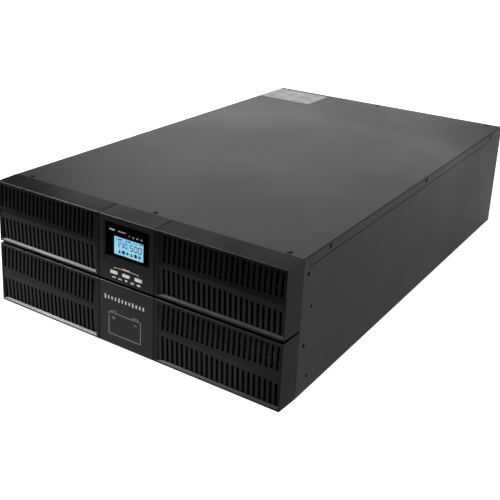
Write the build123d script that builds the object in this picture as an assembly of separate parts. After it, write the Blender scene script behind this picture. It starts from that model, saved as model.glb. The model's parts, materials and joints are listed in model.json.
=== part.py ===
from build123d import *
import os
import math

# Rack or floor standing uninterruptible power supply with a battery drawer.
# Frame: +Z up, -Y is the front (display side), +X is the viewer's right when facing the front.
# The origin is the bottom centre of the whole object. Lengths in millimetres.
# "f" below is the distance behind the front face of the bezels.

# ---- driving dimensions ----
W = 438.0            # body width
H = 172.0            # body height, four rack units less clearance
D = 740.0            # bezel face to rear panel face
FRONT_OUT = 1.0      # buttons stand proud of the bezel face
REAR_OUT = 26.0      # terminal cover stands behind the rear panel
BEZEL_D = 33.4       # bezel depth
BEZEL_H = 84.8       # height of each of the two bezels
DRAFT_X = 1.5        # bezel narrows by this on each side towards the front
DRAFT_Z = 0.6
EDGE_R = 1.2         # rounding of the bezel's front edges
PANEL_W = 86.0       # square centre panel
PANEL_GAP = 0.6
SEAM = 0.8            # bevel width along the panel seams     # gap between centre panel and grilles
FRAME_OUT = 2.2      # flat frame outside each grille recess
FRAME_IN = 4.5       # flat frame between grille recess and centre panel
FRAME_TOP = 4.2
FRAME_BOT = 3.3
BEVEL = 2.6          # width of the sloping sides of each grille recess
FIELD_D = 3.0        # recess depth at its top and bottom
CREST_D = 1.0        # recess depth at the crest of the middle bar
BARS_BACK = 7.5      # back of the louvre bars
CREST_DOWN = 42.4    # crest line below the bezel's top
SLOTS = 23
SLOT_P = 7.1
SLOT_W = 3.3
SLOT_FIRST = 7.25    # first slot centre from the bezel's outer side
SLOT_TOP = 6.0       # slot end below the bezel's top
SLOT_BOT = 79.5
MID_OUT = 8.1       # half height of the middle bar at the outer end
MID_IN = 4.1        # half height at the centre panel end
SHEET = 1.5          # chassis sheet
COVER_T = 1.2        # top cover sheet
FL_F0, FL_F1 = 48.0, 694.0   # cover side flange, front and rear ends
FL_H = 12.4          # cover side flange height
SHELF_Z = 85.2       # underside of the divider shelf
TRAY_X = 213.5       # half width of the battery drawer
TRAY_F0 = 34.6
TRAY_F1 = 677.2
FAN = 80.0
FAN_X = (-168.0, -80.0)
FAN_Z = 126.8
BTN_X = (-18.3, 0.5, 19.3)
BTN_Z = H - 72.0
BTN_W, BTN_H = 10.8, 3.9
LCD_X = 1.0
PIPE_X = (3.6, 9.6, 15.6, 21.6)
PIPE_Z = H - 20.9
BATT = (98.0, 151.0, 65.0)

Y0 = -(D + FRONT_OUT + REAR_OUT) / 2 + FRONT_OUT


def Y(f):
    return Y0 + f


def box(x0, x1, f0, f1, z0, z1):
    return Pos((x0 + x1) / 2, Y((f0 + f1) / 2), (z0 + z1) / 2) * Box(x1 - x0, f1 - f0, z1 - z0)


def cyl_y(x, z, f0, f1, r):
    return Pos(x, Y((f0 + f1) / 2), z) * Rot(90, 0, 0) * Cylinder(r, f1 - f0)


def cyl_z(x, f, z0, z1, r):
    return Pos(x, Y(f), (z0 + z1) / 2) * Cylinder(r, z1 - z0)


def cyl_x(f, z, x0, x1, r):
    return Pos((x0 + x1) / 2, Y(f), z) * Rot(0, 90, 0) * Cylinder(r, x1 - x0)


def prism_x(pts, x0, x1):
    """Polygon of (f, z) points carried along X."""
    face = make_face(Polyline(*[(x0, Y(f), z) for f, z in pts], close=True))
    return extrude(face, amount=x1 - x0, dir=(1, 0, 0))


def prism_y(pts, f0, f1):
    """Polygon of (x, z) points carried along Y."""
    face = make_face(Polyline(*[(x, Y(f0), z) for x, z in pts], close=True))
    return extrude(face, amount=f1 - f0, dir=(0, 1, 0))


def prism_z(pts, z0, z1):
    """Polygon of (x, f) points carried along Z."""
    face = make_face(Polyline(*[(x, Y(f), z0) for x, f in pts], close=True))
    return extrude(face, amount=z1 - z0, dir=(0, 0, 1))


def save(name, shape):
    if isinstance(shape, (list, tuple)):
        shape = Compound(children=[s for item in shape for s in item.solids()])
    export_step(shape, "parts/" + name + ".step")


def walls(shape, *boxes):
    """Flat walls of a moulding or folded sheet, one solid for each box it is divided by."""
    return [shape & box(*b) for b in boxes]


os.makedirs("parts", exist_ok=True)

# ---------------------------------------------------------------- bezels


def bezel_block(z0, z1):
    """Drafted outer block of one bezel with its front edges rounded."""
    back = make_face(Polyline((-W / 2, Y(BEZEL_D), z0), (W / 2, Y(BEZEL_D), z0), (W / 2, Y(BEZEL_D), z1), (-W / 2, Y(BEZEL_D), z1), close=True))
    w = W / 2 - DRAFT_X
    front = make_face(Polyline((-w, Y(0), z0 + DRAFT_Z), (w, Y(0), z0 + DRAFT_Z), (w, Y(0), z1 - DRAFT_Z), (-w, Y(0), z1 - DRAFT_Z), close=True))
    block = loft([back, front], ruled=True)
    edges = [e for e in block.edges() if abs(e.center().Y - Y(0)) < 0.01]
    return fillet(edges, EDGE_R)


def grille_cut(z0, z1, side):
    """Recess and slots of one grille; side is -1 for left, +1 for right."""
    zt = z1
    xo, xi = W / 2 - FRAME_OUT, PANEL_W / 2 + FRAME_IN
    prof = [(-2, zt - FRAME_TOP), (0, zt - FRAME_TOP), (FIELD_D, zt - SLOT_TOP), (CREST_D, zt - CREST_DOWN), (FIELD_D, zt - SLOT_BOT), (0, z0 + FRAME_BOT), (-2, z0 + FRAME_BOT)]
    a, b = sorted((side * xo, side * xi))
    rec = prism_x(prof, a, b)
    plan = [(side * xi, -2), (side * xi, 0), (side * (xi + BEVEL), FIELD_D + 0.01), (side * (xo - BEVEL), FIELD_D + 0.01), (side * xo, 0), (side * xo, -2)]
    rec = rec & prism_z(plan, z0 - 1, z1 + 1)
    slots = []
    for i in range(SLOTS):
        d = SLOT_FIRST + i * SLOT_P
        xa, xb = d - SLOT_W / 2, d + SLOT_W / 2
        ha = MID_OUT + (MID_IN - MID_OUT) * (xa - SLOT_FIRST) / ((SLOTS - 1) * SLOT_P)
        hb = MID_OUT + (MID_IN - MID_OUT) * (xb - SLOT_FIRST) / ((SLOTS - 1) * SLOT_P)
        XA, XB = side * (W / 2 - xa), side * (W / 2 - xb)
        zc = zt - CREST_DOWN
        slots.append(prism_y([(XA, zt - SLOT_TOP), (XB, zt - SLOT_TOP), (XB, zc + hb), (XA, zc + ha)], 0.2, BARS_BACK + 1))
        slots.append(prism_y([(XA, zc - ha), (XB, zc - hb), (XB, zt - SLOT_BOT), (XA, zt - SLOT_BOT)], 0.2, BARS_BACK + 1))
    return [rec] + slots


POST_X = (-196.0, -82.0, 82.0, 196.0)


def seam_bevels(x, inward, z0, z1):
    """Small bevels along the seam beside the centre panel; inward is 1 for the panel, -1 for the bezel."""
    out = []
    for s in (-1, 1):
        a, b = s * (x - inward * SEAM), s * (x + inward * 0.1)
        out.append(prism_z([(a, -0.1), (b, -0.1), (b, SEAM)], z0 - 1, z1 + 1))
        out.append(prism_y([(a, z1 + 0.1), (b, z1 + 0.1), (b, z1 - SEAM)], -1, BEZEL_D + 1))
    return out



def bezel(z0, z1, handle_window):
    b = bezel_block(z0, z1)
    cuts = []
    for side in (-1, 1):
        cuts += grille_cut(z0, z1, side)
        a, c = sorted((side * (W / 2 - 2.4), side * (PANEL_W / 2 + 2.4)))
        cuts.append(box(a, c, BARS_BACK, BEZEL_D + 1, z0 + 2.4, z1 - 2.4))
    p = PANEL_W / 2
    cuts += seam_bevels(p, -1, z0, z1)
    cuts.append(box(-p, p, -2, 28.5, z0 - 1, z1 + 1))
    cuts.append(box(-p, p, 31.0, BEZEL_D + 1, z0 - 1, z1 + 1))
    cuts.append(box(-p, p, 28, 31.5, z0 - 1, z0 + 3.0))
    cuts.append(box(-p, p, 28, 31.5, z1 - 3.0, z1 + 1))
    if handle_window:
        cuts.append(box(-36, 36, 28, 32, 25, 60))
    b = b - cuts
    # each louvred grille is its own insert, let into the bezel frame
    plates = []
    for side in (-1, 1):
        a, c = sorted((side * (W / 2 - FRAME_OUT - 1.6), side * (PANEL_W / 2 + FRAME_IN + 1.6)))
        plates.append(box(a, c, -2, BARS_BACK, z0 + FRAME_BOT + 1.3, z1 - FRAME_TOP - 0.9))
    front = b & box(-W, W, -2, BARS_BACK, z0 - 1, z1 + 1)
    f0, f1, wi, wo = BARS_BACK, BEZEL_D + 1, PANEL_W / 2 + 2.4, W / 2 - 2.4
    spans = []
    for side in (-1, 1):
        ia, ib = sorted((side * p, side * wi))
        oa, ob = sorted((side * wo, side * (W / 2 + 1)))
        ta, tb = sorted((side * wi, side * wo))
        spans += [(ia, ib, f0, f1, z0 - 1, z1 + 1), (oa, ob, f0, f1, z0 - 1, z1 + 1),
                  (ta, tb, f0, f1, z0 - 1, z0 + 2.4), (ta, tb, f0, f1, z1 - 2.4, z1 + 1)]
    if handle_window:
        spans += [(-p, -36, f0, f1, z0, z1), (36, p, f0, f1, z0, z1), (-36, 36, f0, f1, z0, 25), (-36, 36, f0, f1, 60, z1)]
    else:
        spans.append((-p, p, f0, f1, z0, z1))
    return front - plates, walls(b, *spans), [b & p for p in plates]


LZ0, LZ1 = 0.0, BEZEL_H
UZ0, UZ1 = H - BEZEL_H, H
for level, z0, z1, window in (("upper", UZ0, UZ1, False), ("lower", LZ0, LZ1, True)):
    face_frame, shell, grilles = bezel(z0, z1, window)
    save(level + "_bezel", face_frame)
    save(level + "_bezel_shell", shell)
    save(level + "_grilles", grilles)


def studs(z, f1):
    out = []
    for x in POST_X:
        s = cyl_y(x, z, BARS_BACK, f1 - 4, 2.6) + cyl_y(x, z, f1 - 4.5, f1 - 3.0, 1.9) + Pos(x, Y(f1 - 2.6), z) * Sphere(2.6)
        out.append(s)
    return out


ST_U = UZ1 - CREST_DOWN
ST_L = LZ1 - CREST_DOWN
save("upper_bezel_studs", studs(ST_U, 42.0))
save("lower_bezel_studs", studs(ST_L, 42.0))

# ---------------------------------------------------------------- display module
pw = PANEL_W / 2 - PANEL_GAP


def panel_shell(z0, z1):
    """Square centre panel: front wall 5 mm, thin walls behind, room for the bezel's bridge."""
    s = bezel_block(z0, z1) & box(-pw, pw, -2, 40, z0 - 1, z1 + 1)
    s = s - [box(-pw + 2.3, pw - 2.3, 5.0, 40, z0 + 2.4, z1 - 2.4),
             box(-pw - 1, pw + 1, 27.9, 40, z0 + 2.4, z1 - 2.4)] - seam_bevels(pw, 1, z0, z1)
    return s


LENS_Z0, LENS_Z1 = H - 53.0, H - 9.6
hs = panel_shell(UZ0, UZ1)
pocket = prism_x([(-2, H - 8.6), (0, H - 8.6), (2.0, LENS_Z1), (2.0, LENS_Z0), (0, H - 61.6), (-2, H - 61.6)], -35, 35)
pocket = pocket & prism_z([(-35, -2), (-35, 0), (-33.6, 2.01), (33.6, 2.01), (35, 0), (35, -2)], 80, 180)
hs = hs - [pocket,
           box(-33.3, 33.3, 1.9, 3.8, LENS_Z0 + 0.2, LENS_Z1 - 0.2),
           box(LCD_X - 29, LCD_X + 29, 3, 6, H - 52.0, H - 23.4)]
hs = hs - [box(x - BTN_W / 2 - 0.3, x + BTN_W / 2 + 0.3, -1, 6, BTN_Z - BTN_H / 2 - 0.3, BTN_Z + BTN_H / 2 + 0.3) for x in BTN_X]
hs = hs - [cyl_y(x, PIPE_Z, 3, 6, 1.3) for x in PIPE_X]
save("display_housing", hs)
save("display_lens", box(-33.1, 33.1, 2.1, 3.7, LENS_Z0 + 0.4, LENS_Z1 - 0.4))
LCD_Z = H - 38.1
save("lcd_glass", box(LCD_X - 28, LCD_X + 28, 5.2, 7.4, LCD_Z - 14.4, LCD_Z + 14.4))
save("lcd_backlight", box(LCD_X - 28.5, LCD_X + 28.5, 7.4, 11.0, LCD_Z - 15.0, LCD_Z + 15.0))
brd = box(-38, 38, 11.0, 12.6, UZ0 + 4.0, UZ1 - 4.0)
save("display_board", [brd] + [box(x - 3, x + 3, 7.9, 11.0, BTN_Z - 3, BTN_Z + 3) for x in BTN_X])
save("status_light_pipes", [cyl_y(x, PIPE_Z, 4.0, 11.0, 1.1) for x in PIPE_X])
save("display_back_cover", box(-39.8, 39.8, 24.0, 25.6, UZ0 + 2.9, UZ1 - 2.9) + [box(x - 2.5, x + 2.5, 12.8, 24.0, z - 2.5, z + 2.5) for x in (-34, 34) for z in (UZ0 + 8, UZ1 - 8)])
for name, x in zip(("button_left", "button_middle", "button_right"), BTN_X):
    cap = box(x - BTN_W / 2, x + BTN_W / 2, -FRONT_OUT, 5.4, BTN_Z - BTN_H / 2, BTN_Z + BTN_H / 2)
    cap = fillet([e for e in cap.edges() if abs(e.center().Y - Y(-FRONT_OUT)) < 0.01], 0.5)
    cap = cap - box(x - BTN_W / 2 - 1, x + BTN_W / 2 + 1, -FRONT_OUT - 1, -FRONT_OUT + 0.5, BTN_Z - 0.45, BTN_Z + 0.45)
    fl = box(x - BTN_W / 2 - 1.0, x + BTN_W / 2 + 1.0, 5.4, 6.4, BTN_Z - BTN_H / 2 - 1.0, BTN_Z + BTN_H / 2 + 1.0)
    save(name, cap + fl)

save("lower_centre_panel", panel_shell(LZ0, LZ1))

# ---------------------------------------------------------------- chassis
EAR_HOLES = ((45.5, 151.0, 2.6), (58.0, 107.0, 2.1), (45.5, 63.0, 2.6), (58.0, 19.0, 2.1))
SIDE_SCREWS = (97.0, 390.0, 680.0)
SCREW_Z = H - 5.8
F0 = BEZEL_D + 0.6
ct = H - COVER_T
tray = box(-W / 2, W / 2, F0, D, 0, SHEET)
for s in (-1, 1):
    a, b = sorted((s * W / 2, s * (W / 2 - SHEET)))
    tray += box(a, b, F0, D, SHEET, ct)
    a, b = sorted((s * (W / 2 - SHEET), s * (W / 2 - SHEET - 2.0)))
    tray += box(a, b, FL_F0 + 0.4, FL_F1 + 6, 150, ct)
cuts = []
for s in (-1, 1):
    a, b = sorted((s * (W / 2 + 1), s * (W / 2 - SHEET)))
    cuts.append(box(a, b, FL_F0 - 0.8, FL_F1 + 0.8, H - FL_H - 0.9, H))
    a, b = sorted((s * (W / 2 + 1), s * (W / 2 - 5)))
    cuts += [cyl_x(f, z, a, b, r) for f, z, r in EAR_HOLES]
    cuts += [cyl_x(f, SCREW_Z, a, b, 1.7) for f in SIDE_SCREWS]
    # service notch so that the front ear screws clear the inner lip
    a, b = sorted((s * (W / 2 - SHEET), s * (W / 2 - 5)))
    cuts.append(box(a, b, 40, 50.0, 145, 157))
tray = tray - cuts
save("chassis_tray", tray)

cover = box(-W / 2, W / 2, F0, D, ct, H)
for s in (-1, 1):
    a, b = sorted((s * W / 2, s * (W / 2 - SHEET)))
    cover += box(a, b, FL_F0, FL_F1, H - FL_H, ct)
TOP_SCREWS = [(x, 42.0) for x in (-197.0, 11.0, 196.0)] + [(x, 732.6) for x in (-197.0, -11.0, 195.0)]
cuts = [cyl_z(x, f, 165, 180, 1.8) for x, f in TOP_SCREWS]
for s in (-1, 1):
    a, b = sorted((s * (W / 2 + 1), s * (W / 2 - 5)))
    cuts += [cyl_x(f, SCREW_Z, a, b, 1.8) for f in SIDE_SCREWS]
cover = cover - cuts
cover = fillet([e for e in cover.edges() if abs(e.center().Z - H) < 0.01 and e.length > 600], 1.0)
save("top_cover", cover)


def screw_z(x, f, ztop, r_head, h_head, r, length):
    head = Pos(x, Y(f), ztop + h_head / 2) * Cylinder(r_head, h_head)
    head = fillet([e for e in head.edges() if abs(e.center().Z - ztop - h_head) < 0.01], h_head * 0.6)
    s = head + cyl_z(x, f, ztop - length, ztop, r)
    return s - [box(x - 1.9, x + 1.9, f - 0.35, f + 0.35, ztop + 0.35, ztop + 2), box(x - 0.35, x + 0.35, f - 1.9, f + 1.9, ztop + 0.35, ztop + 2)]


def screw_dir(p, d, r_head=3.2, h_head=1.0, r=1.6, length=5.0):
    """Cross-recess pan screw whose head rises from point (x, f, z) in direction d."""
    s = screw_z(0, -Y0, 0, r_head, h_head, r, length)
    x, f, z = p
    rot = {"+x": Rot(0, 90, 0), "-x": Rot(0, -90, 0), "+y": Rot(-90, 0, 0), "-y": Rot(90, 0, 0), "+z": Rot(0, 0, 0)}[d]
    return Pos(x, Y(f), z) * rot * s


cs = [screw_dir((x, f, H), "+z", length=3.4) for x, f in TOP_SCREWS]
cs += [screw_dir((s * W / 2, f, SCREW_Z), "+x" if s > 0 else "-x", length=5.0) for s in (-1, 1) for f in SIDE_SCREWS]
save("cover_screws", cs)
save("top_label", box(-216.0, -113.0, 652.0, 728.5, H, H + 0.2))

# upper front panel behind the upper bezel
fp = box(-W / 2 + SHEET, W / 2 - SHEET, 34.2, 35.7, 87.0, ct) + box(-W / 2 + SHEET, W / 2 - SHEET, 35.7, 48.0, ct - 1.5, ct)
cuts = [cyl_y(x, ST_U, 30, 50, 3.1) for x in POST_X] + [cyl_z(x, 42.0, 160, 172, 1.7) for x in (-197.0, 11.0, 196.0)]
for i in range(13):
    for s in (-1, 1):
        xc = s * (62 + i * 11.6)
        for za, zb in ((94, 120), (136, 162)):
            cuts.append(box(xc - 2.4, xc + 2.4, 30, 36.5, za, zb))
cuts.append(box(-25, 25, 30, 36.5, 96, 112))
fp = fp - cuts
save("upper_front_panel", walls(fp, (-W, -25, 34, 35.7, 80, 180), (25, W, 34, 35.7, 80, 180),
                                (-25, 25, 34, 35.7, 80, 96), (-25, 25, 34, 35.7, 112, 180), (-W, W, 35.7, 50, 80, 180)))

# divider shelf between the electronics and the battery bay
sh = [box(-W / 2 + SHEET, W / 2 - SHEET, 36.2, D - SHEET, SHELF_Z, SHELF_Z + SHEET)]
sh += [box(s * 217.5 - (1.5 if s > 0 else 0), s * 217.5 + (0 if s > 0 else 1.5), 60, 700, SHELF_Z + SHEET, SHELF_Z + 12) for s in (-1, 1)]
save("divider_shelf", sh)

# rear panel
PC = D - SHEET
rp = box(-W / 2 + SHEET, W / 2 - SHEET, PC, D, SHEET, ct) + box(-W / 2 + SHEET, W / 2 - SHEET, PC - 12, PC, ct - 1.5, ct)
FH = FAN / 2 - 4.25
C13 = [(x, z) for x in (-196.0, -158.0) for z in (27.0, 61.0)]
C19 = [(x, 44.0) for x in (-112.0, -66.0)]
cuts = []
for fx in FAN_X:
    cuts.append(cyl_y(fx, FAN_Z, PC - 1, D + 1, 36.8))
    cuts += [cyl_y(fx + sx * FH, FAN_Z + sz * FH, PC - 1, D + 1, 2.1) for sx in (-1, 1) for sz in (-1, 1)]
cuts += [box(x - 12.2, x + 12.2, PC - 1, D + 1, z - 10.2, z + 10.2) for x, z in C13]
cuts += [box(x - 15.2, x + 15.2, PC - 1, D + 1, z - 12.2, z + 12.2) for x, z in C19]
cuts.append(box(-24.2, 84.2, PC - 1, D + 1, 99.8, 132.2))          # terminal block
cuts.append(box(108, 200, PC - 1, D + 1, 139, 159))                # option card slot
cuts.append(box(126.8, 145.2, PC - 1, D + 1, 115.8, 126.2))        # serial port
cuts.append(box(163.8, 176.2, PC - 1, D + 1, 115.3, 126.7))        # USB port
cuts.append(box(187.8, 200.2, PC - 1, D + 1, 116.3, 125.7))        # emergency power off
cuts.append(box(74.8, 115.2, PC - 1, D + 1, 34.8, 53.2))           # external battery port
cuts.append(box(151.8, 188.2, PC - 1, D + 1, 25.8, 68.2))          # input breaker
cuts.append(cyl_y(203.0, 20.0, PC - 1, D + 1, 3.2))                # ground stud
cuts += [cyl_z(x, 732.6, 160, 172, 1.7) for x in (-197.0, -11.0, 195.0)]
TC = [(-25.6, 138.6), (85.6, 138.6)]
cuts += [cyl_y(x, z, PC - 1, D + 1, 1.7) for x, z in TC]
OC = [(103.5, 149.0), (204.5, 149.0)]
cuts += [cyl_y(x, z, PC - 1, D + 1, 1.7) for x, z in OC]
rp = rp - cuts
save("rear_panel", walls(rp, (-W, W, PC, D, 0, 180), (-W, W, PC - 13, PC, 0, 180)))

# fans
fan_frames = []
for name, fx in zip(("left", "right"), FAN_X):
    fr = box(fx - 40, fx + 40, PC - 25, PC, FAN_Z - 40, FAN_Z + 40)
    fr = fillet([e for e in fr.edges() if e.length < 26 and abs(e.length - 25) < 0.1], 3.5)
    fr = fr - [cyl_y(fx, FAN_Z, PC - 26, PC + 1, 37.0)] - [cyl_y(fx + sx * FH, FAN_Z + sz * FH, PC - 26, PC + 1, 2.0) for sx in (-1, 1) for sz in (-1, 1)]
    hub = cyl_y(fx, FAN_Z, PC - 25, PC - 22.5, 17.5)
    for k in range(3):
        a = math.radians(90 + 120 * k)
        st = Pos(fx + 27 * math.cos(a), Y(PC - 23.75), FAN_Z + 27 * math.sin(a)) * Rot(0, -math.degrees(a), 0) * Box(22, 2.5, 4)
        hub += st
    hub += cyl_y(fx, FAN_Z, PC - 22.5, PC - 14, 5.0)
    fr = fr + hub
    fr = fr - cyl_y(fx, FAN_Z, PC - 26, PC - 10, 1.55)
    fan_frames.append(fr)
    ro = cyl_y(fx, FAN_Z, PC - 21.5, PC - 3, 17.0) - cyl_y(fx, FAN_Z, PC - 22, PC - 5, 15.2)
    ro += cyl_y(fx, FAN_Z, PC - 24.5, PC - 4, 1.5)
    ring = cyl_y(fx, FAN_Z, PC - 22, PC - 2, 35.9) - cyl_y(fx, FAN_Z, PC - 23, PC - 1, 16.2)
    for k in range(7):
        bl = Pos(fx, Y(PC - 12.2), FAN_Z) * Rot(0, 360 / 7 * k, 0) * Pos(26.5, 0, 0) * Rot(38, 0, 0) * Box(26, 1.6, 23)
        ro += bl & ring
    save("fan_rotor_" + name, ro)
save("fan_frames", fan_frames)

gd = []
for fx in FAN_X:
    g = None
    for r in (9.0, 18.0, 27.0, 35.6):
        rg = cyl_y(fx, FAN_Z, D, D + 1.6, r) - cyl_y(fx, FAN_Z, D - 1, D + 3, r - 1.8)
        g = rg if g is None else g + rg
    for a in (45, 135):
        g += Pos(fx, Y(D + 0.8), FAN_Z) * Rot(0, a, 0) * Box(104, 1.6, 4)
    g += [cyl_y(fx + sx * FH, FAN_Z + sz * FH, D, D + 1.6, 4.2) for sx in (-1, 1) for sz in (-1, 1)]
    g = g - [cyl_y(fx + sx * FH, FAN_Z + sz * FH, D - 1, D + 3, 2.1) for sx in (-1, 1) for sz in (-1, 1)]
    gd.append(g)
save("fan_guards", gd)
rear_screws = [screw_dir((fx + sx * FH, D + 1.6, FAN_Z + sz * FH), "+y", r_head=3.4, h_head=1.6, r=1.8, length=14) for fx in FAN_X for sx in (-1, 1) for sz in (-1, 1)]

# terminal block, its screws and its cover
tb = box(-24, 84, 716, 741.5, 100, 132)
tb = tb - [box(-22 + 21.2 * i, -22 + 21.2 * i + 19.2, 737, 743, 104, 128) for i in range(5)]
tb = tb - [cyl_y(-22 + 21.2 * i + 9.6, 116, 730, 738, 2.1) for i in range(5)]
save("terminal_block", tb)
rear_screws += [screw_dir((-22 + 21.2 * i + 9.6, 737, 116), "+y", r_head=5.2, h_head=2.4, r=2.0, length=6) for i in range(5)]
tc = box(-31, 91, D, D + REAR_OUT, 92, 144)
tc = fillet([e for e in tc.edges() if e.length > 25 and e.center().Y > Y(D) + 1], 2.0)
tc = tc - box(-29.5, 89.5, D - 1, D + REAR_OUT - 1.5, 93.5, 142.5)
tc = tc + [box(x - 4.0, x + 4.0, D, D + 1.5, 134, 142.6) for x in (-25.6, 85.6)]
tc = tc - [cyl_y(x, z, D - 1, D + 2, 1.8) for x, z in TC]
tc = tc - box(4.0, 56.0, D + 4.0, D + 20.0, 91, 94)
tc = tc - [cyl_y(x, z, D + 20, D + 30, 3.6) for x, z in TC]
fi = D + REAR_OUT - 1.5
save("terminal_cover", walls(tc, (-32, 92, fi, fi + 2, 91, 145), (-32, -29.5, D, fi, 91, 145), (89.5, 92, D, fi, 91, 145),
                             (-29.5, 89.5, D, fi, 142.5, 145), (-29.5, 4, D, fi, 91, 93.5), (56, 89.5, D, fi, 91, 93.5),
                             (4, 56, D, D + 4, 91, 93.5), (4, 56, D + 20, fi, 91, 93.5),
                             (-29.5, -20, D, fi, 130, 142.5), (80, 89.5, D, fi, 130, 142.5)))
rear_screws += [screw_dir((x, D + 1.5, z), "+y", r_head=2.9, h_head=1.4, r=1.6, length=5) for x, z in TC]

# option card slot cover
oc = box(99, 209, D, D + 1.2, 136, 162) - [cyl_y(x, z, D - 1, D + 2, 1.8) for x, z in OC]
save("option_slot_cover", oc)
rear_screws += [screw_dir((x, D + 1.2, z), "+y", r_head=3.2, h_head=1.4, r=1.6, length=6) for x, z in OC]
save("rear_screws", rear_screws)

# data ports
sp = box(127, 145, 724, 740, 116, 126) + box(120.5, 151.5, D, D + 0.9, 114.8, 127.2)
sp = sp + prism_y([(127.6, 125.2), (144.4, 125.2), (142.9, 116.8), (129.1, 116.8)], D + 0.9, D + 6.2)
sp = sp - [cyl_y(x, 122.6, D + 2, D + 7, 0.6) for x in (130.5, 133.25, 136, 138.75, 141.5)] - [cyl_y(x, 119.6, D + 2, D + 7, 0.6) for x in (131.9, 134.6, 137.4, 140.1)]
ports = [sp] + [prism_y([(x + 3.0 * math.cos(math.radians(60 * k)), 121 + 3.0 * math.sin(math.radians(60 * k))) for k in range(6)], D + 0.9, D + 5.4) for x in (123.9, 148.1)]
us = box(164, 176, 724, 741.2, 115.5, 126.5) - box(165.8, 174.2, 732, 743, 117.2, 124.8)
us = us + box(167.2, 172.8, 731, 740.5, 119.4, 122.6)
save("data_ports", ports + [us])
ep = box(188, 200, 726, 742, 116.5, 125.5) - [cyl_y(x, 119.3, 736, 744, 1.3) for x in (191, 197)] - [cyl_y(x, 123.0, 739, 744, 1.1) for x in (191, 197)]
save("emergency_off_terminal", ep)

# output sockets: four of the smaller type, two of the larger
so = []
for x, z in C13:
    b = box(x - 12, x + 12, 716, 740, z - 10, z + 10) + box(x - 15.5, x + 15.5, D, D + 2.0, z - 13.5, z + 13.5)
    b = b - (box(x - 9.5, x + 9.5, D + 0.9, D + 3, z - 6.5, z + 6.5) - box(x - 8.0, x + 8.0, D, D + 3, z - 5.0, z + 5.0))
    b = b - [box(x + dx - 1.1, x + dx + 1.1, D - 8, D + 3, z + dz - 2.4, z + dz + 2.4) for dx, dz in ((-6, -1.2), (0, 1.8), (6, -1.2))]
    so.append(b)
for x, z in C19:
    b = box(x - 15, x + 15, 714, 740, z - 12, z + 12) + box(x - 19, x + 19, D, D + 2.0, z - 16, z + 16)
    b = b - (box(x - 12.5, x + 12.5, D + 0.9, D + 3, z - 8.5, z + 8.5) - box(x - 11.0, x + 11.0, D, D + 3, z - 7.0, z + 7.0))
    b = b - [box(x + dx - 3.0, x + dx + 3.0, D - 8, D + 3, z + dz - 1.1, z + dz + 1.1) for dx, dz in ((-6.5, -2.5), (0, 3.5), (6.5, -2.5))]
    so.append(b)
save("output_sockets", so)
# external battery port: rear block, frame round the two wells, one blade in each well
xb = [box(75, 115, 712, 733, 35, 53), box(75, 115, 733, 742.5, 50.4, 53), box(75, 115, 733, 742.5, 35, 37.6)]
xb += [box(x0, x1, 733, 742.5, 37.6, 50.4) for x0, x1 in ((75, 78), (93, 97), (112, 115))]
xb += [box(x - 6, x + 6, 733, 742.5, 42.3, 45.7) for x in (85.5, 104.5)]
save("external_battery_port", xb)

# ground stud
save("ground_stud", cyl_y(203.0, 20.0, PC - 2.5, D + 15, 3.0) + cyl_y(203.0, 20.0, D, D + 2.0, 6.0) + cyl_y(203.0, 20.0, PC - 2.5, PC, 6.0))

# input breaker with its toggle
bx, bz, bf = 170.0, 47.0, D + 0.5
ib = box(152, 188, 702, D + 1.5, 26, 68) + box(148, 192, D, D + 1.5, 22, 72)
ib = ib - [cyl_x(bf, bz, bx - 9.4, bx + 9.4, 7.0), box(bx - 9.4, bx + 9.4, bf, D + 3, bz - 13.5, bz + 13.5), prism_x([(bf, bz), (D + 3, bz + 13.5), (D + 3, bz - 13.5)], bx - 9.4, bx + 9.4)]
save("input_breaker", ib)
tg = cyl_x(bf, bz, bx - 8.8, bx + 8.8, 6.4)
tg = tg + Pos(bx, Y(bf), bz) * Rot(28, 0, 0) * Pos(0, 9.0, 0) * Box(17.6, 13.0, 5.0)
save("breaker_toggle", tg)

# ---------------------------------------------------------------- electronics
PB = 96.0
save("power_board", box(-196, 196, 118, 640, PB, PB + 1.6))
save("control_board", box(-150, 150, 52, 108, PB, PB + 1.6))
sp_pts = [(x, f) for x in (-188, 0, 188) for f in (128, 380, 630)] + [(x, f) for x in (-140, 140) for f in (60, 100)]
save("board_standoffs", [cyl_z(x, f, SHELF_Z + SHEET, PB, 3.5) for x, f in sp_pts])


def heatsink(x0, w, f0, f1):
    n, t = 8, 2.2
    s = box(x0, x0 + w, f0, f1, PB + 2.0, PB + 8.0)
    for i in range(n):
        xx = x0 + i * (w - t) / (n - 1)
        s += box(xx, xx + t, f0, f1, PB + 8.0, 158.0)
    return s


save("heatsinks", [heatsink(-182, 66, 300, 600), heatsink(116, 66, 300, 600)])
save("power_transistors", [box(x, x + 4.8, f, f + 15.8, PB + 1.7, PB + 24) for x in (-115.6, 110.8) for f in range(310, 590, 34)])
save("bus_capacitors", [cyl_z(x, f, PB + 1.6, PB + 52, 17.0) for x in (-60, -20, 20, 60) for f in (170, 214)])
tor = []
for x in (-55, 55):
    for f in (350, 440, 530):
        tor.append(Pos(x, Y(f), PB + 2.0 + 13) * Torus(24, 12.8))
save("filter_inductors", tor)
save("bypass_relays", [box(x, x + 29, f, f + 22, PB + 1.6, PB + 27) for x in (-180, -140, 111, 151) for f in (150, 200)])
save("line_filter", box(-20, 190, 655, 705, 88.5, 91.0) + box(-10, 60, 660, 700, 91.0, 130) + box(90, 160, 660, 700, 91.0, 112))

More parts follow.
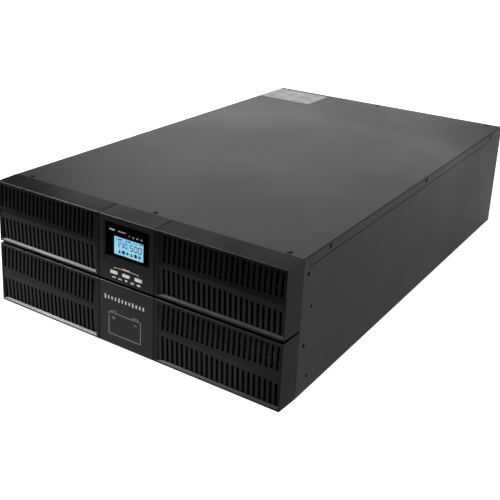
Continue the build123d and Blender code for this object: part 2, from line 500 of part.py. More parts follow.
# ---------------------------------------------------------------- battery bay
save("drawer_runners", [box(s * 215.75 - 1.75, s * 215.75 + 1.75, 40, 690, SHEET, 14.0) + box(min(s * 214.0, s * 196.0), max(s * 214.0, s * 196.0), 40, 690, SHEET, 2.5) for s in (-1, 1)])
dt = [box(-TRAY_X, TRAY_X, TRAY_F0 + 1.5, TRAY_F1, 2.8, 4.0)]
dt += [box(-TRAY_X, -TRAY_X + 1.2, TRAY_F0 + 1.5, TRAY_F1, 4.0, 72.0), box(TRAY_X - 1.2, TRAY_X, TRAY_F0 + 1.5, TRAY_F1, 4.0, 72.0)]
dt += [box(x0, x1, TRAY_F1 - 1.2, TRAY_F1, z0, z1) for x0, x1, z0, z1 in
       ((-TRAY_X + 1.2, -26, 4.0, 72.0), (26, TRAY_X - 1.2, 4.0, 72.0), (-26, 26, 4.0, 30.0), (-26, 26, 50.0, 72.0))]
save("drawer_tray", dt)
dfp = box(-TRAY_X, TRAY_X, TRAY_F0, TRAY_F0 + 1.5, 2.8, 84.0) - [cyl_y(x, ST_L, 30, 40, 3.1) for x in POST_X]
DS = [(-205.0, 76.0), (205.0, 76.0), (-205.0, 12.0), (205.0, 12.0)]
dfp = dfp - [cyl_y(x, z, 30, 40, 1.8) for x, z in DS]
save("drawer_front", dfp)
save("drawer_screws", [screw_dir((x, TRAY_F0, z), "-y", r_head=4.0, h_head=2.2, r=1.7, length=1.9) for x, z in DS])
hd = box(-30, 30, 14.0, TRAY_F0, 36, 49)
hd = fillet([e for e in hd.edges() if abs(e.center().Y - Y(14)) < 0.1], 1.5)
hd = hd - box(-23, 23, 18.5, TRAY_F0 + 1, 30, 55)
hd = hd + box(-34, -22.9, TRAY_F0 - 2.0, TRAY_F0, 33, 52) + box(22.9, 34, TRAY_F0 - 2.0, TRAY_F0, 33, 52)
save("drawer_handle", hd)
bw, bl, bh = BATT
blocks = []
for r in range(4):
    fa = 46.0 + r * 155.0
    for c in range(4):
        xc = -153.0 + c * 102.0
        b = box(xc - bw / 2, xc + bw / 2, fa, fa + bl, 4.2, 4.2 + bh)
        b = chamfer([e for e in b.edges() if abs(e.center().Z - 4.2 - bh) < 0.01], 1.2)
        b = b - [box(xc - bw / 2 + 8, xc + bw / 2 - 8, fa + 20, fa + bl - 20, 4.2 + bh - 0.6, 80)]
        blocks.append(b)
save("battery_blocks", blocks)
save("battery_links", [box(xc - 12, xc + 12, 46 + r * 155.0 + 6, 46 + r * 155.0 + 13, 69.4, 70.6) for r in range(4) for xc in (-102.0, 0.0, 102.0)])
save("battery_clamp_bars", [box(-TRAY_X, TRAY_X, f - 8, f + 8, 72.0, 73.5) for f in (200.0, 510.0)])
save("battery_plug", box(-25.6, 25.6, 664.5, 709.0, 30.4, 49.6))
sk = box(-32, 32, 700, PC, 24, 56) - box(-27, 27, 690, 712, 28, 52)
save("battery_socket", sk)
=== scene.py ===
import json
import math

import bmesh
import bpy
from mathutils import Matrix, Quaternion, Vector


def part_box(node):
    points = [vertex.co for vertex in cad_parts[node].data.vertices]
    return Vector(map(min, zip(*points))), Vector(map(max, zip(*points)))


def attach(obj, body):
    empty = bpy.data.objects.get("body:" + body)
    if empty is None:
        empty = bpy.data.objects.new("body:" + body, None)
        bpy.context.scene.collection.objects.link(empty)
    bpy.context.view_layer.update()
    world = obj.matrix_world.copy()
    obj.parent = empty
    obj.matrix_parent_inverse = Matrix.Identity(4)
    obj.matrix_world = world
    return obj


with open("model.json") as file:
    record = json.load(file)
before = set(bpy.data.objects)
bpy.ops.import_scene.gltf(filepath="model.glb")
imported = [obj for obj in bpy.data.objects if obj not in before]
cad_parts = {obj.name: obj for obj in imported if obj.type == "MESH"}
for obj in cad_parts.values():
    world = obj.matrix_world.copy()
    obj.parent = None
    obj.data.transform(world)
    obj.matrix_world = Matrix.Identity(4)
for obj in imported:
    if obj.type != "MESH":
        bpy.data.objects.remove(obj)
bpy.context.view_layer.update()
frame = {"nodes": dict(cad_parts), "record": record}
NODES = frame["nodes"]
MM = 0.001

# ------------------------------------------------------------------ places read from the frame
lens_lo, lens_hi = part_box("display_lens")
glass_lo, glass_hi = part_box("lcd_glass")
panel_lo, panel_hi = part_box("lower_centre_panel")
label_lo, label_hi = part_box("top_label")
TOP = label_hi.z - 0.2 * MM
FACE = panel_lo.y                        # plane of the bezel faces
LCD_CX = (glass_lo.x + glass_hi.x) / 2
LCD_CZ = (glass_lo.z + glass_hi.z) / 2


# ------------------------------------------------------------------ node helpers
def new_mat(name):
    m = bpy.data.materials.new(name)
    m.use_nodes = True
    nt = m.node_tree
    nt.nodes.clear()
    out = nt.nodes.new("ShaderNodeOutputMaterial")
    bsdf = nt.nodes.new("ShaderNodeBsdfPrincipled")
    nt.links.new(bsdf.outputs[0], out.inputs[0])
    return m, nt, bsdf, out


def coords(nt, scale=(1, 1, 1)):
    tc = nt.nodes.new("ShaderNodeTexCoord")
    mp = nt.nodes.new("ShaderNodeMapping")
    mp.inputs["Scale"].default_value = scale
    nt.links.new(tc.outputs["Object"], mp.inputs[0])
    return mp.outputs[0]


def noise(nt, vec, scale, detail=3.0, rough=0.55):
    n = nt.nodes.new("ShaderNodeTexNoise")
    n.inputs["Scale"].default_value = scale
    n.inputs["Detail"].default_value = detail
    n.inputs["Roughness"].default_value = rough
    nt.links.new(vec, n.inputs["Vector"])
    return n.outputs["Fac"]


def ramp(nt, fac, stops):
    r = nt.nodes.new("ShaderNodeValToRGB")
    el = r.color_ramp.elements
    while len(el) > 1:
        el.remove(el[-1])
    el[0].position, el[0].color = stops[0][0], (*stops[0][1], 1)
    for p, c in stops[1:]:
        e = el.new(p)
        e.color = (*c, 1)
    nt.links.new(fac, r.inputs[0])
    return r.outputs[0]


def remap(nt, fac, a, b, lo=0.3, hi=0.7):
    r = nt.nodes.new("ShaderNodeMapRange")
    r.inputs["From Min"].default_value = lo
    r.inputs["From Max"].default_value = hi
    r.inputs["To Min"].default_value = a
    r.inputs["To Max"].default_value = b
    nt.links.new(fac, r.inputs["Value"])
    return r.outputs[0]


def bump(nt, bsdf, height, dist, strength=1.0, normal=None):
    b = nt.nodes.new("ShaderNodeBump")
    b.inputs["Strength"].default_value = strength
    b.inputs["Distance"].default_value = dist
    nt.links.new(height, b.inputs["Height"])
    if normal is not None:
        nt.links.new(normal, b.inputs["Normal"])
    nt.links.new(b.outputs[0], bsdf.inputs["Normal"])
    return b.outputs[0]


def add(nt, a, b, wa=1.0, wb=1.0):
    m1 = nt.nodes.new("ShaderNodeMath")
    m1.operation = "MULTIPLY"
    m1.inputs[1].default_value = wa
    nt.links.new(a, m1.inputs[0])
    m2 = nt.nodes.new("ShaderNodeMath")
    m2.operation = "MULTIPLY_ADD"
    m2.inputs[1].default_value = wb
    nt.links.new(b, m2.inputs[0])
    nt.links.new(m1.outputs[0], m2.inputs[2])
    return m2.outputs[0]


def surface(name, dark, light, rough=(0.4, 0.55), metallic=0.0, spec=0.5, fine=900.0, fine_mm=0.02,
            broad=9.0, stretch=(1, 1, 1), coat=0.0, coat_rough=0.1, contrast=(0.35, 0.65)):
    """A finish with broad colour drift, fine grain in colour and roughness, and a fine bump."""
    m, nt, b, _ = new_mat(name)
    v = coords(nt, stretch)
    big = noise(nt, v, broad, 4.0)
    small = noise(nt, v, fine, 2.0)
    mixf = add(nt, big, small, 0.65, 0.35)
    nt.links.new(ramp(nt, mixf, [(contrast[0], dark), (contrast[1], light)]), b.inputs["Base Color"])
    nt.links.new(remap(nt, mixf, rough[0], rough[1]), b.inputs["Roughness"])
    b.inputs["Metallic"].default_value = metallic
    b.inputs["Specular IOR Level"].default_value = spec
    if coat:
        b.inputs["Coat Weight"].default_value = coat
        b.inputs["Coat Roughness"].default_value = coat_rough
    bump(nt, b, small, fine_mm * MM, 0.6)
    return m


def g(v, tint=(1.0, 1.0, 1.0)):
    return tuple(v * t for t in tint)


def moulded(name, dark, light, rough, spec, fine, fine_mm, broad, edge=0.025, edge_spec=0.4):
    """Moulded plastic with a painted highlight: a little paler and shinier on the narrow bevels and edges that face up
    and forward.
    """
    m = surface(name, dark, light, rough=rough, spec=spec, fine=fine, fine_mm=fine_mm, broad=broad)
    nt = m.node_tree
    b = next(n for n in nt.nodes if n.type == "BSDF_PRINCIPLED")
    # painted highlight: faces whose object-space normal points up and forward, where the overhead light catches the
    # bevels, get a paler base colour (edge) and more specular (edge_spec)
    tc = nt.nodes.new("ShaderNodeTexCoord")
    sep = nt.nodes.new("ShaderNodeSeparateXYZ")
    nt.links.new(tc.outputs["Normal"], sep.inputs[0])
    prod = nt.nodes.new("ShaderNodeMath")
    prod.operation = "MULTIPLY"
    nt.links.new(sep.outputs["Y"], prod.inputs[0])
    nt.links.new(sep.outputs["Z"], prod.inputs[1])
    mask = nt.nodes.new("ShaderNodeMapRange")
    mask.inputs["From Min"].default_value = -0.08
    mask.inputs["From Max"].default_value = -0.42
    mask.inputs["To Min"].default_value = 0.0
    mask.inputs["To Max"].default_value = 1.0
    nt.links.new(prod.outputs[0], mask.inputs["Value"])
    # noise that breaks up the painted highlight
    highlight_breakup = noise(nt, coords(nt, (1, 6, 6)), 120, 4)
    # strength of the painted highlight: the up-and-forward mask times the noise
    painted_highlight = nt.nodes.new("ShaderNodeMath")
    painted_highlight.operation = "MULTIPLY"
    nt.links.new(mask.outputs[0], painted_highlight.inputs[0])
    nt.links.new(remap(nt, highlight_breakup, 0.7, 1.0), painted_highlight.inputs[1])
    mix = nt.nodes.new("ShaderNodeMix")
    mix.data_type = "RGBA"
    base = b.inputs["Base Color"].links[0].from_socket
    nt.links.new(painted_highlight.outputs[0], mix.inputs[0])
    nt.links.new(base, mix.inputs[6])
    mix.inputs[7].default_value = (edge, edge, edge * 1.04, 1)
    nt.links.new(mix.outputs[2], b.inputs["Base Color"])
    nt.links.new(remap(nt, painted_highlight.outputs[0], spec, edge_spec, 0.0, 1.0), b.inputs["Specular IOR Level"])
    return m


M = {}
COOL = (0.97, 0.99, 1.05)
M["dark_powder_coat"] = surface("powder_coat", g(0.0075, COOL), g(0.0115, COOL), rough=(0.38, 0.50), spec=0.23, fine=750, fine_mm=0.035, broad=5)
# bezel and panel plastics carry the painted highlight on their up-and-forward bevels
M["bezel_plastic"] = moulded("moulded_bezel", g(0.0023), g(0.0041), rough=(0.22, 0.32), spec=0.08, fine=1300, fine_mm=0.02, broad=14)
M["panel_plastic"] = moulded("moulded_panel", g(0.0022), g(0.0038), rough=(0.20, 0.29), spec=0.11, fine=1500, fine_mm=0.014, broad=18)
M["white_plastic"] = surface("translucent_white", g(0.68), g(0.8), rough=(0.35, 0.5), fine=1500, fine_mm=0.01, broad=30)
M["button_plastic"] = surface("button_caps", g(0.78), g(0.92), rough=(0.35, 0.5), fine=1800, fine_mm=0.01, broad=60)
M["black_screw"] = surface("black_oxide", g(0.012), g(0.03), rough=(0.3, 0.5), metallic=0.7, fine=2500, fine_mm=0.01, broad=120)
M["bright_steel"] = surface("nickel_plate", g(0.42), g(0.62), rough=(0.2, 0.38), metallic=1.0, fine=2200, fine_mm=0.008, broad=60, stretch=(1, 1, 6))
M["black_plastic"] = surface("black_nylon", g(0.010), g(0.02), rough=(0.4, 0.6), fine=1600, fine_mm=0.02, broad=40)
M["grey_plastic"] = surface("grey_nylon", g(0.17), g(0.26), rough=(0.4, 0.6), fine=1600, fine_mm=0.02, broad=40)
M["green_plastic"] = surface("green_nylon", (0.02, 0.16, 0.05), (0.035, 0.25, 0.08), rough=(0.35, 0.5), fine=1600, fine_mm=0.015, broad=40)
M["brass_metal"] = surface("brass", (0.62, 0.42, 0.14), (0.8, 0.58, 0.22), rough=(0.2, 0.4), metallic=1.0, fine=2200, fine_mm=0.008, broad=90)
M["heatsink_aluminium"] = surface("anodised_fins", g(0.30), g(0.45), rough=(0.32, 0.5), metallic=1.0, fine=700, fine_mm=0.02, broad=20, stretch=(6, 1, 1))
M["battery_case"] = surface("battery_abs", g(0.030, (1, 1, 1.08)), g(0.052, (1, 1, 1.06)), rough=(0.42, 0.6), fine=900, fine_mm=0.03, broad=25)


def zinc():
    """Galvanised sheet: rolled grain with faint spangle."""
    m, nt, b, _ = new_mat("galvanised_sheet")
    v = coords(nt)
    vo = nt.nodes.new("ShaderNodeTexVoronoi")
    vo.inputs["Scale"].default_value = 95.0
    nt.links.new(v, vo.inputs["Vector"])
    grain = noise(nt, coords(nt, (1, 1, 14)), 320, 3)
    f = add(nt, vo.outputs["Color"], grain, 0.35, 0.65)
    nt.links.new(ramp(nt, f, [(0.25, (0.30, 0.305, 0.31)), (0.75, (0.47, 0.475, 0.48))]), b.inputs["Base Color"])
    nt.links.new(remap(nt, f, 0.30, 0.48), b.inputs["Roughness"])
    b.inputs["Metallic"].default_value = 0.92
    bump(nt, b, grain, 0.02 * MM, 0.5)
    return m


M["zinc_steel"] = zinc()


def lit():
    """Backlit display glass: sky blue, a little brighter where the lamps sit."""
    m, nt, b, _ = new_mat("lcd_blue")
    v = coords(nt)
    n = noise(nt, v, 55, 3)
    col = ramp(nt, n, [(0.3, (0.25, 0.64, 0.93)), (0.7, (0.38, 0.78, 1.0))])
    nt.links.new(col, b.inputs["Base Color"])
    nt.links.new(col, b.inputs["Emission Color"])
    b.inputs["Emission Strength"].default_value = 2.05
    nt.links.new(remap(nt, n, 0.12, 0.25), b.inputs["Roughness"])
    return m


M["lit_display"] = lit()


def lens():
    m, nt, b, _ = new_mat("smoked_window")
    v = coords(nt)
    n = noise(nt, v, 300, 2)
    nt.links.new(ramp(nt, n, [(0.3, (0.0003, 0.00032, 0.0004)), (0.7, (0.0006, 0.00065, 0.0008))]), b.inputs["Base Color"])
    nt.links.new(remap(nt, n, 0.12, 0.18), b.inputs["Roughness"])
    b.inputs["Alpha"].default_value = 0.36
    b.inputs["Specular IOR Level"].default_value = 0.02
    return m


M["smoked_lens"] = lens()


def pcb():
    """Board with solder-mask green, tracks and pads as fine pattern."""
    m, nt, b, _ = new_mat("solder_mask")
    v = coords(nt)
    br = nt.nodes.new("ShaderNodeTexBrick")
    br.inputs["Scale"].default_value = 70.0
    br.inputs["Mortar Size"].default_value = 0.06
    br.inputs["Color1"].default_value = (0.006, 0.055, 0.022, 1)
    br.inputs["Color2"].default_value = (0.008, 0.075, 0.030, 1)
    br.inputs["Mortar"].default_value = (0.018, 0.14, 0.06, 1)
    nt.links.new(v, br.inputs["Vector"])
    n = noise(nt, v, 240, 3)
    nt.links.new(br.outputs["Color"], b.inputs["Base Color"])
    nt.links.new(remap(nt, n, 0.25, 0.45), b.inputs["Roughness"])
    bump(nt, b, br.outputs["Fac"], 0.03 * MM, 0.5)
    return m


M["circuit_board"] = pcb()


def stripes(name, a, bcol, scale, axis, metallic=0.0, rough=(0.3, 0.45), dist=0.1, phase=0.0, spec=0.5):
    m, nt, b, _ = new_mat(name)
    st = [0.05, 0.05, 0.05]
    st[axis] = 1
    w = nt.nodes.new("ShaderNodeTexWave")
    w.bands_direction = "XYZ"[axis]
    w.inputs["Scale"].default_value = scale
    w.inputs["Distortion"].default_value = 0.4
    w.inputs["Detail"].default_value = 1.0
    w.inputs["Phase Offset"].default_value = phase
    v = coords(nt, (1, 1, 1))
    nt.links.new(v, w.inputs["Vector"])
    n = noise(nt, v, 400, 2)
    f = add(nt, w.outputs["Fac"], n, 0.7, 0.3)
    nt.links.new(ramp(nt, f, [(0.25, a), (0.75, bcol)]), b.inputs["Base Color"])
    nt.links.new(remap(nt, n, rough[0], rough[1]), b.inputs["Roughness"])
    b.inputs["Metallic"].default_value = metallic
    b.inputs["Specular IOR Level"].default_value = spec
    bump(nt, b, w.outputs["Fac"], dist * MM, 0.6)
    return m


M["copper_winding"] = stripes("enamelled_wire", (0.32, 0.11, 0.035), (0.70, 0.33, 0.13), 420, 1, metallic=0.85, dist=0.25)
M["capacitor_sleeve"] = surface("shrink_sleeve", (0.012, 0.016, 0.035), (0.02, 0.026, 0.06), rough=(0.22, 0.35), fine=500, fine_mm=0.02, broad=60)
M["label_paper"] = surface("label_stock", g(0.30, (1, 1, 0.99)), g(0.38, (1, 1, 1)), rough=(0.4, 0.55), fine=1600, fine_mm=0.006, broad=40)

slot_of = {s["node"]: s["material_slot"] for s in frame["record"]["subparts"]}
for node, obj in NODES.items():
    mat = M[slot_of[node]]
    if obj.material_slots:
        for s in obj.material_slots:
            s.material = mat
    else:
        obj.data.materials.append(mat)


def assign(node, mat):
    for s in NODES[node].material_slots:
        s.material = mat


# ------------------------------------------------------------------ print and small pieces
def piece(name, bm, mat, body):
    bmesh.ops.recalc_face_normals(bm, faces=bm.faces)
    me = bpy.data.meshes.new(name)
    bm.to_mesh(me)
    bm.free()
    me.materials.append(mat)
    ob = bpy.data.objects.new(name, me)
    bpy.context.scene.collection.objects.link(ob)
    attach(ob, body)
    return ob


def plate(bm, pts, d0, d1, axis="y"):
    """Closed prism of a flat outline. Axis y: pts are (x, z) and it runs from y d0 to d1. Axis z: pts are (x, y)."""
    def at(p, d):
        return (p[0], d, p[1]) if axis == "y" else (p[0], p[1], d)
    a = [bm.verts.new(at(p, d0)) for p in pts]
    b = [bm.verts.new(at(p, d1)) for p in pts]
    bm.faces.new(a)
    bm.faces.new(list(reversed(b)))
    n = len(pts)
    for i in range(n):
        bm.faces.new((a[i], b[i], b[(i + 1) % n], a[(i + 1) % n]))


def bar(bm, x0, x1, z0, z1, d0, d1, axis="y", cut=0.0):
    if cut:
        c = cut
        pts = [(x0 + c, z0), (x1 - c, z0), (x1, z0 + c), (x1, z1 - c), (x1 - c, z1), (x0 + c, z1), (x0, z1 - c), (x0, z0 + c)]
    else:
        pts = [(x0, z0), (x1, z0), (x1, z1), (x0, z1)]
    plate(bm, pts, d0, d1, axis)


def ring(bm, x0, x1, z0, z1, w, d0, d1):
    """Rectangular outline w wide as one closed prism."""
    o = [(x0, z0), (x1, z0), (x1, z1), (x0, z1)]
    i = [(x0 + w, z0 + w), (x1 - w, z0 + w), (x1 - w, z1 - w), (x0 + w, z1 - w)]
    vs = []
    for d in (d0, d1):
        vs.append([bm.verts.new((p[0], d, p[1])) for p in o])
        vs.append([bm.verts.new((p[0], d, p[1])) for p in i])
    oa, ia, ob, ib = vs
    for k in range(4):
        n = (k + 1) % 4
        bm.faces.new((oa[k], oa[n], ia[n], ia[k]))
        bm.faces.new((ob[k], ib[k], ib[n], ob[n]))
        bm.faces.new((oa[k], ob[k], ob[n], oa[n]))
        bm.faces.new((ia[k], ia[n], ib[n], ib[k]))


SEG = {"0": "abcdef", "1": "bc", "2": "abged", "3": "abgcd", "4": "fgbc", "5": "afgcd", "6": "afgedc", "7": "abc", "8": "abcdefg", "9": "abcdfg"}


def digit(bm, ch, x, z, w, h, t, d0, d1, lean=0.08):
    """Seven-segment numeral with its lower left corner at x, z."""
    gap = t * 0.18

    def P(u, v):
        return (x + u + lean * v, z + v)
    hz = {"a": h - t, "g": (h - t) / 2, "d": 0.0}
    for s in SEG[ch]:
        if s in hz:
            v = hz[s]
            pts = [P(t / 2 + gap, v + t / 2), P(t + gap, v), P(w - t - gap, v), P(w - t / 2 - gap, v + t / 2), P(w - t - gap, v + t), P(t + gap, v + t)]
        else:
            u = 0.0 if s in "fe" else w - t
            v0, v1 = (h / 2, h - t / 2) if s in "fb" else (t / 2, h / 2)
            pts = [P(u + t / 2, v0 + gap), P(u + t, v0 + t / 2 + gap), P(u + t, v1 - t / 2 - gap), P(u + t / 2, v1 - gap), P(u, v1 - t / 2 - gap), P(u, v0 + t / 2 + gap)]
        plate(bm, pts, d0, d1)


ink_dark = surface("lcd_ink", (0.006, 0.035, 0.12), (0.012, 0.055, 0.17), rough=(0.3, 0.4), fine=3000, fine_mm=0.003, broad=200)
ink_white = surface("silk_white", g(0.46), g(0.6), rough=(0.5, 0.65), fine=2500, fine_mm=0.004, broad=150)
ink_bright = surface("silk_bright", g(0.8), g(0.94), rough=(0.5, 0.65), fine=2500, fine_mm=0.004, broad=150)
ink_grey = surface("silk_grey", g(0.14), g(0.21), rough=(0.5, 0.65), fine=2500, fine_mm=0.004, broad=150)
mask_black = surface("lens_mask_black", g(0.0003), g(0.0007), rough=(0.5, 0.6), spec=0.01, fine=2500, fine_mm=0.004, broad=150)

# black border printed on the back of the window, with a clear area for the display
AW, AH = 44.6 * MM, 22.8 * MM
ax0, ax1 = LCD_CX - AW / 2, LCD_CX + AW / 2
az0, az1 = LCD_CZ - AH / 2, LCD_CZ + AH / 2
bm = bmesh.new()
d0, d1 = lens_hi.y + 0.02 * MM, lens_hi.y + 0.08 * MM
o = [(lens_lo.x, lens_lo.z), (lens_hi.x, lens_lo.z), (lens_hi.x, lens_hi.z), (lens_lo.x, lens_hi.z)]
i4 = [(ax0, az0), (ax1, az0), (ax1, az1), (ax0, az1)]
va = [[bm.verts.new((p[0], d, p[1])) for p in q] for d in (d0, d1) for q in (o, i4)]
for k in range(4):
    n = (k + 1) % 4
    bm.faces.new((va[0][k], va[0][n], va[1][n], va[1][k]))
    bm.faces.new((va[2][k], va[3][k], va[3][n], va[2][n]))
    bm.faces.new((va[0][k], va[2][k], va[2][n], va[0][n]))
    bm.faces.new((va[1][k], va[1][n], va[3][n], va[3][k]))
piece("lens_border_print", bm, mask_black, "display_module")

# liquid-crystal graphics in front of the glass
bm = bmesh.new()
gy0, gy1 = glass_lo.y - 0.12 * MM, glass_lo.y - 0.03 * MM
W_ = AW
u = lambda f: ax0 + f * AW
v_ = lambda f: az0 + f * AH
for k, ch in enumerate("230"):
    digit(bm, ch, u(0.10) + k * 5.05 * MM, v_(0.41), 4.2 * MM, 7.4 * MM, 1.05 * MM, gy0, gy1)
for k, ch in enumerate("500"):
    digit(bm, ch, u(0.50) + k * 6.4 * MM, v_(0.36), 5.5 * MM, 9.0 * MM, 1.3 * MM, gy0, gy1)
bar(bm, u(0.435), u(0.435) + 1.3 * MM, v_(0.41), v_(0.41) + 1.3 * MM, gy0, gy1)
# top row: level bars, a small triangle, two boxes and a rule
for k in range(4):
    bar(bm, u(0.05 + 0.05 * k), u(0.05 + 0.05 * k + 0.034), v_(0.80), v_(0.85 + 0.02 * k), gy0, gy1)
plate(bm, [(u(0.36), v_(0.80)), (u(0.43), v_(0.80)), (u(0.395), v_(0.93))], gy0, gy1)
bar(bm, u(0.47), u(0.53), v_(0.81), v_(0.92), gy0, gy1, cut=0.5 * MM)
for k in range(5):
    bar(bm, u(0.58 + 0.045 * k), u(0.58 + 0.045 * k + 0.026), v_(0.84), v_(0.88), gy0, gy1)
bar(bm, u(0.84), u(0.96), v_(0.88), v_(0.93), gy0, gy1)
# bottom row: six plain flow symbols joined by short rules
for k in range(6):
    x = u(0.115 + 0.138 * k)
    w = 4.0 * MM
    z0, z1 = v_(0.07), v_(0.28)
    if k % 3 == 0:
        plate(bm, [(x, z0), (x + w, z0), (x + w * 0.5, z1)], gy0, gy1)
    elif k % 3 == 1:
        bar(bm, x, x + w, z0, z1, gy0, gy1, cut=1.0 * MM)
    else:
        plate(bm, [(x, (z0 + z1) / 2), (x + w / 2, z0), (x + w, (z0 + z1) / 2), (x + w / 2, z1)], gy0, gy1)
for k in range(5):
    x = u(0.115 + 0.138 * k) + 4.0 * MM
    bar(bm, x + 0.4 * MM, x + 1.8 * MM, v_(0.16), v_(0.19), gy0, gy1)
piece("lcd_numerals", bm, ink_dark, "display_module")

# marks printed on the window: four status symbols and a plain rule
bm = bmesh.new()
ly0, ly1 = lens_lo.y - 0.07 * MM, lens_lo.y - 0.01 * MM
pipe_lo, pipe_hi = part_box("status_light_pipes")
px = [pipe_lo.x + 1.1 * MM + k * (pipe_hi.x - pipe_lo.x - 2.2 * MM) / 3 for k in range(4)]
zc = (pipe_lo.z + pipe_hi.z) / 2
for k, x in enumerate(px):
    s = 1.25 * MM
    if k == 0:
        plate(bm, [(x - s, zc - 0.2 * MM), (x + s, zc - 0.2 * MM), (x + s, zc + 0.3 * MM), (x - s, zc + 0.3 * MM)], ly0, ly1)
    elif k == 1:
        plate(bm, [(x - s, zc - s * 0.8), (x + s, zc - s * 0.8), (x, zc + s)], ly0, ly1)
    elif k == 2:
        bar(bm, x - s, x + s, zc - s * 0.7, zc + s * 0.7, ly0, ly1, cut=0.4 * MM)
    else:
        plate(bm, [(x - s, zc), (x, zc - s), (x + s, zc), (x, zc + s)], ly0, ly1)
zm = az1 + 8.3 * MM
bar(bm, ax0 - 6.2 * MM, ax0 + 2.5 * MM, zm - 0.9 * MM, zm + 0.9 * MM, ly0, ly1, cut=0.7 * MM)
for k in range(3):
    x = ax0 + (7.7 + 3.9 * k) * MM
    bar(bm, x, x + 3.3 * MM, zm - 0.7 * MM, zm + 0.6 * MM, ly0, ly1, cut=0.3 * MM)
piece("window_marks", bm, ink_white, "display_module")

# marks round the buttons, printed on the panel face
bm = bmesh.new()
fy0, fy1 = FACE - 0.06 * MM, FACE + 0.02 * MM
for k, nm in enumerate(("button_left", "button_middle", "button_right")):
    blo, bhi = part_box(nm)
    cx, cz = (blo.x + bhi.x) / 2, (blo.z + bhi.z) / 2
    z = cz - 6.8 * MM
    if k == 0:
        bar(bm, cx - 1.6 * MM, cx + 2.8 * MM, z - 0.5 * MM, z + 0.5 * MM, fy0, fy1)
        plate(bm, [(cx - 3.2 * MM, z), (cx - 1.6 * MM, z - 1.2 * MM), (cx - 1.6 * MM, z + 1.2 * MM)], fy0, fy1)
    elif k == 1:
        plate(bm, [(cx - 2.2 * MM, z + 1.3 * MM), (cx, z - 1.5 * MM), (cx + 2.2 * MM, z + 1.3 * MM)], fy0, fy1)
    else:
        bar(bm, cx - 2.2 * MM, cx + 1.4 * MM, z - 0.9 * MM, z + 0.9 * MM, fy0, fy1)
        plate(bm, [(cx + 3.2 * MM, z), (cx + 1.4 * MM, z - 1.7 * MM), (cx + 1.4 * MM, z + 1.7 * MM)], fy0, fy1)
    if k < 2:
        xm = cx + 9.4 * MM
        for dz in (-0.75, 0.45):
            bar(bm, xm - 2.6 * MM, xm + 2.6 * MM, z + (dz - 0.3) * MM, z + (dz + 0.3) * MM, fy0, fy1)
b0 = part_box("button_left")
b2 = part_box("button_right")
zt = (b0[0].z + b0[1].z) / 2 + 6.2 * MM
xa, xb = (b0[0].x + b0[1].x) / 2, (b2[0].x + b2[1].x) / 2
bar(bm, xa, xb, zt, zt + 0.45 * MM, fy0, fy1)
for x in (xa, xb - 0.5 * MM):
    bar(bm, x, x + 0.5 * MM, zt - 1.8 * MM, zt, fy0, fy1)
for k in range(3):
    x = (xa + xb) / 2 + (3.9 * k - 5.6) * MM
    bar(bm, x, x + 3.3 * MM, zt + 0.75 * MM, zt + 1.75 * MM, fy0, fy1)
piece("button_marks", bm, ink_bright, "display_module")

# battery symbol and a plain tick scale printed on the lower panel
bm = bmesh.new()
H = 172.0 * MM
st = 0.85 * MM
bx0, bx1, bz0, bz1 = -27.1 * MM, 23.5 * MM, H - 157.0 * MM, H - 124.3 * MM
tab = 2.6 * MM
ring(bm, bx0, bx1, bz0, bz1 - tab, st, fy0, fy1)
for cx in (-18.6 * MM, 14.8 * MM):
    for a, c in ((cx - 4.2 * MM, cx - 4.2 * MM + st), (cx + 4.2 * MM - st, cx + 4.2 * MM)):
        bar(bm, a, c, bz1 - tab, bz1 - st, fy0, fy1)
    bar(bm, cx - 4.2 * MM, cx + 4.2 * MM, bz1 - st, bz1, fy0, fy1)
cz = bz1 - tab - 7.0 * MM
cx = -19.2 * MM
bar(bm, cx - 2.4 * MM, cx + 2.4 * MM, cz - 0.45 * MM, cz + 0.45 * MM, fy0, fy1)
bar(bm, cx - 0.45 * MM, cx + 0.45 * MM, cz + 0.45 * MM, cz + 2.4 * MM, fy0, fy1)
bar(bm, cx - 0.45 * MM, cx + 0.45 * MM, cz - 2.4 * MM, cz - 0.45 * MM, fy0, fy1)
bar(bm, 14.8 * MM - 2.4 * MM, 14.8 * MM + 2.4 * MM, cz - 0.45 * MM, cz + 0.45 * MM, fy0, fy1)
piece("battery_symbol", bm, ink_grey, "lower_bezel")

bm = bmesh.new()
tz = H - 107.8 * MM
for k in range(12):
    x = (-32.4 + 5.42 * k) * MM
    h = 6.0 if k % 4 == 0 else 4.4
    bar(bm, x - 1.1 * MM, x + 1.1 * MM, tz - h / 2 * MM, tz + h / 2 * MM, fy0, fy1)
piece("charge_scale_marks", bm, ink_white, "lower_bezel")

# faint ruled blocks on the top label
bm = bmesh.new()
lz0, lz1 = label_hi.z, label_hi.z + 0.03 * MM
lw, ll = label_hi.x - label_lo.x, label_hi.y - label_lo.y
for r in range(7):
    yy = label_lo.y + (0.12 + 0.115 * r) * ll
    for c, (a, b) in enumerate(((0.06, 0.30), (0.34, 0.52), (0.60, 0.92))):
        if (r + c) % 4 == 3:
            continue
        bar(bm, label_lo.x + a * lw, label_lo.x + (b - 0.03 * ((r * 7 + c * 3) % 4)) * lw, yy, yy + 0.045 * ll, lz0, lz1, axis="z")
piece("label_rules", bm, ink_grey, "chassis")

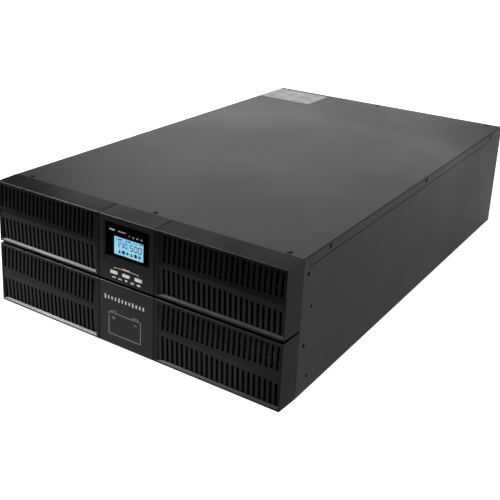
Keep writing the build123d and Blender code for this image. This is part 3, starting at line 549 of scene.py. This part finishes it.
# ------------------------------------------------------------------ stage, light and camera
bm = bmesh.new()
for x, y in ((-6, -6), (6, -6), (6, 8), (-6, 8)):
    bm.verts.new((x, y, 0))
bm.faces.new(bm.verts)
me = bpy.data.meshes.new("floor")
bm.to_mesh(me)
bm.free()
floor_mat, nt, b, _ = new_mat("paper_floor")
v = coords(nt)
n = noise(nt, v, 3.0, 3)
nt.links.new(ramp(nt, n, [(0.3, (0.52, 0.52, 0.52)), (0.7, (0.56, 0.56, 0.56))]), b.inputs["Base Color"])
nt.links.new(remap(nt, n, 0.7, 0.85), b.inputs["Roughness"])
b.inputs["Specular IOR Level"].default_value = 0.1
b.inputs["Emission Color"].default_value = (1, 1, 1, 1)
seen = nt.nodes.new("ShaderNodeLightPath")
spot = nt.nodes.new("ShaderNodeSeparateXYZ")
nt.links.new(coords(nt), spot.inputs[0])


def band(value, lo, hi):
    r = nt.nodes.new("ShaderNodeMapRange")
    r.interpolation_type = "SMOOTHSTEP"
    r.inputs["From Min"].default_value = lo
    r.inputs["From Max"].default_value = hi
    nt.links.new(value, r.inputs["Value"])
    return r.outputs[0]


def math2(op, a, c):
    m2 = nt.nodes.new("ShaderNodeMath")
    m2.operation = op
    nt.links.new(a, m2.inputs[0])
    if isinstance(c, float):
        m2.inputs[1].default_value = c
    else:
        nt.links.new(c, m2.inputs[1])
    return m2.outputs[0]


# a pool of light lies on the floor in front of the unit; the floor further out is dimmer
pool = math2("MULTIPLY", band(spot.outputs["Y"], -0.60, -0.50), band(spot.outputs["X"], 0.24, 0.12))
pool = math2("MULTIPLY", pool, band(spot.outputs["Y"], -0.20, -0.36))
far = math2("MULTIPLY", band(spot.outputs["Y"], -0.50, -0.60), 0.38)
bounce = math2("ADD", math2("SUBTRACT", math2("MULTIPLY", pool, 0.90), far), 0.46)
white = nt.nodes.new("ShaderNodeMix")
white.data_type = "FLOAT"
nt.links.new(seen.outputs["Is Camera Ray"], white.inputs[0])
nt.links.new(bounce, white.inputs[2])
white.inputs[3].default_value = 1.0
nt.links.new(white.outputs[0], b.inputs["Emission Strength"])
me.materials.append(floor_mat)
floor = bpy.data.objects.new("floor", me)
bpy.context.scene.collection.objects.link(floor)

world = bpy.data.worlds.new("studio")
bpy.context.scene.world = world
world.use_nodes = True
wt = world.node_tree
wb = wt.nodes["Background"]
wb.inputs["Color"].default_value = (1, 1, 1, 1)
wb.inputs["Strength"].default_value = 0.128
# the backdrop itself is white paper; the room around it is dimmer
paper = wt.nodes.new("ShaderNodeBackground")
paper.inputs["Color"].default_value = (1, 1, 1, 1)
paper.inputs["Strength"].default_value = 1.0
seen = wt.nodes.new("ShaderNodeLightPath")
mix = wt.nodes.new("ShaderNodeMixShader")
wt.links.new(seen.outputs["Is Camera Ray"], mix.inputs[0])
wt.links.new(wb.outputs[0], mix.inputs[1])
wt.links.new(paper.outputs[0], mix.inputs[2])
wt.links.new(mix.outputs[0], wt.nodes["World Output"].inputs[0])


def area(name, loc, target, size, power, colour=(1, 1, 1)):
    ld = bpy.data.lights.new(name, "AREA")
    ld.shape = "RECTANGLE"
    ld.size, ld.size_y = size
    ld.energy = power
    ld.color = colour
    ob = bpy.data.objects.new(name, ld)
    bpy.context.scene.collection.objects.link(ob)
    ob.location = loc
    ob.rotation_euler = (Vector(target) - Vector(loc)).to_track_quat("-Z", "Y").to_euler()
    return ob


area("overhead_softbox", (-0.8, 0.6, 2.6), (-0.1, 0.2, 0), (3.0, 3.0), 44)
area("rear_left_softbox", (-1.9, 3.2, 0.95), (0, 0.1, 0.15), (2.6, 1.1), 20)
area("front_strip", (-1.72, -1.13, 2.03), (-0.1, -0.38, 0.1), (0.9, 0.45), 38)

cam = bpy.data.cameras.new("camera")
cam.sensor_width = 36
cam.lens = 60.5286
cam.shift_x = 0.05
cam.shift_y = -0.17
cam.clip_start = 0.05
co = bpy.data.objects.new("camera", cam)
co.rotation_mode = "QUATERNION"
co.location = (0.5931978, -1.0830437, 0.5399116)
co.rotation_quaternion = Quaternion((0.7703312, 0.5667200, 0.1564363, 0.2468722))
bpy.context.scene.collection.objects.link(co)
bpy.context.scene.camera = co
bpy.context.scene.view_settings.view_transform = "Standard"

bpy.context.view_layer.update()
